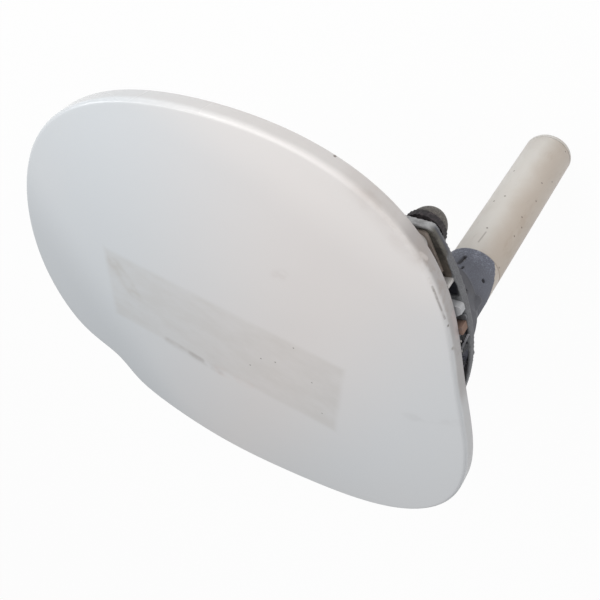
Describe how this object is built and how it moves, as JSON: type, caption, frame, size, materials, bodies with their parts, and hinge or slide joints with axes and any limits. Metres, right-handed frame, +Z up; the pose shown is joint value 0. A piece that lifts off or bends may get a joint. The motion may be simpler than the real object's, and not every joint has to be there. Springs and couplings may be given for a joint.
{
  "type": "radome antenna",
  "caption": "Thin white radome with a rounded-shield outline on a ribbed bracket whose split socket turns on a round mast tube with an end cap.",
  "frame": {"origin": "centre of the mast tube's lower end, on its axis", "axes": "+Z up the mast tube towards the radome's face, +X from the mast towards the radome's centre"},
  "size_m": [0.5262, 0.4953, 0.326],
  "materials": {
    "mast_cream": "aged satin plastic pipe, slightly dirty",
    "cap_cream": "aged satin plastic",
    "socket_paint": "speckled blue-grey cast paint",
    "screw_steel": "zinc-plated",
    "dark_steel": "blackened",
    "plate_paint": "worn grey paint on a casting",
    "pad_rubber": "light grey rubber",
    "packing_brown": "brown laminate",
    "strip_tan": "dirty cream foam strip",
    "knob_dark": "dirty knurled ring",
    "knob_cap": "dull grey-brown",
    "shell_white": "white moulded plastic",
    "cover_white": "smooth gloss gelcoat, lightly stained",
    "gasket_rubber": "matte",
    "ring_plastic": "moulded ring",
    "sheet_aluminium": "mill",
    "foam": "closed-cell foam",
    "board_green": "circuit board",
    "patch_copper": "gilt copper",
    "nylon": "natural nylon",
    "tinned_steel": "tinned",
    "nickel": "nickel plated",
    "vent_black": "matte"
  },
  "bodies": {
    "mast": {"mast_tube": "mast_cream", "end_cap": "cap_cream"},
    "head": {"mast_socket": "socket_paint", "socket_screws": "screw_steel", "grub_screw": "dark_steel", "bracket_plate": "plate_paint", "mount_bolts": "screw_steel", "mount_washers": "screw_steel", "rim_pads": "pad_rubber", "pad_screws": "screw_steel", "packing_block": "packing_brown", "end_pad": "strip_tan", "knob_washer": "screw_steel", "knob_stud": "screw_steel", "rear_shell": "shell_white", "radome_cover": "cover_white", "rim_gasket": "gasket_rubber", "stiffener_ring": "ring_plastic", "rim_screws": "screw_steel", "backing_plate": "sheet_aluminium", "foam_core": "foam", "array_board": "board_green", "patch_elements": "patch_copper", "array_spacers": "nylon", "ground_plane": "sheet_aluminium", "feed_board": "board_green", "receiver_board": "board_green", "shield_can": "tinned_steel", "board_posts": "nylon", "cable_socket": "nickel", "cable_socket_nut": "nickel", "vent_plug": "vent_black"},
    "knob": {"lock_knob": "knob_dark", "knob_cap": "knob_cap"}
  },
  "joints": [
    {"name": "mast_swivel", "type": "hinge", "parent": "mast", "child": "head", "pos_m": [0, 0, 0.24], "axis": [0, 0, 1], "range_deg": [-180, 180]},
    {"name": "knob_turn", "type": "hinge", "parent": "head", "child": "knob", "pos_m": [-0.0075, -0.0995, 0.275], "axis": [0, 0, 1], "continuous": true}
  ]
}
